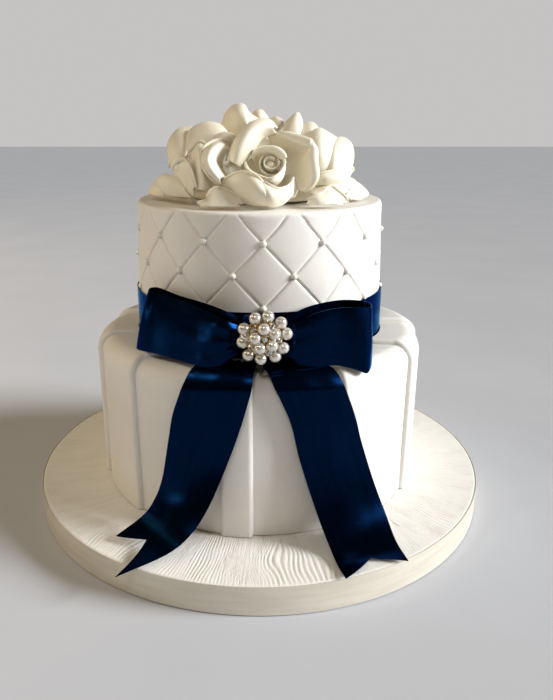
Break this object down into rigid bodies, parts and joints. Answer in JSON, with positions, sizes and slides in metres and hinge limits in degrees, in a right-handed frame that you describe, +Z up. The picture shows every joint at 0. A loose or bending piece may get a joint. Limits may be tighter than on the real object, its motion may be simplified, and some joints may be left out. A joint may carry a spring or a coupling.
{
  "type": "tiered wedding cake",
  "caption": "Round tiered wedding cake on its iced board: pleated lower tier, quilted upper tier, navy ribbon and bow with long tails, pearl brooch and sugar roses on top.",
  "frame": {"origin": "middle of the underside of the cake board, on the surface that it stands on", "axes": "+Z up; -Y towards the viewer, which is the side with the bow; +X to the viewer's right"},
  "size_m": [0.3048, 0.3048, 0.2599],
  "materials": {
    "sugar_paste_white": "satin sugar paste, warm white",
    "board_paste_white": "sugar paste embossed with a wood grain, warm white",
    "sugar_ivory": "matt flower paste, ivory",
    "drum_card": "card wrapped in silver foil",
    "white_ribbon": "white satin ribbon",
    "navy_satin": "navy satin ribbon",
    "pearl": "ivory pearl with a soft sheen"
  },
  "bodies": {
    "root": {"drum_board": "drum_card", "board_icing": "board_paste_white", "board_ribbon": "white_ribbon", "bottom_tier": "sugar_paste_white", "pleat_strip": "sugar_paste_white", "pleat_left_1": "sugar_paste_white", "pleat_left_2": "sugar_paste_white", "pleat_left_3": "sugar_paste_white", "pleat_left_4": "sugar_paste_white", "pleat_left_5": "sugar_paste_white", "pleat_right_1": "sugar_paste_white", "pleat_right_2": "sugar_paste_white", "pleat_right_3": "sugar_paste_white", "pleat_right_4": "sugar_paste_white", "pleat_right_5": "sugar_paste_white", "pleat_back": "sugar_paste_white", "top_tier": "sugar_paste_white", "ribbon_band": "navy_satin", "bow_loop_left": "navy_satin", "bow_loop_right": "navy_satin", "bow_tail_left": "navy_satin", "bow_tail_right": "navy_satin", "bow_knot": "navy_satin", "brooch": "pearl", "rose_front": "sugar_ivory", "rose_left": "sugar_ivory", "rose_right": "sugar_ivory", "rose_back": "sugar_ivory", "loose_petal_1": "sugar_ivory", "loose_petal_2": "sugar_ivory", "loose_petal_3": "sugar_ivory", "loose_petal_4": "sugar_ivory", "loose_petal_5": "sugar_ivory", "loose_petal_6": "sugar_ivory", "loose_petal_7": "sugar_ivory", "loose_petal_8": "sugar_ivory"}
  },
  "joints": []
}
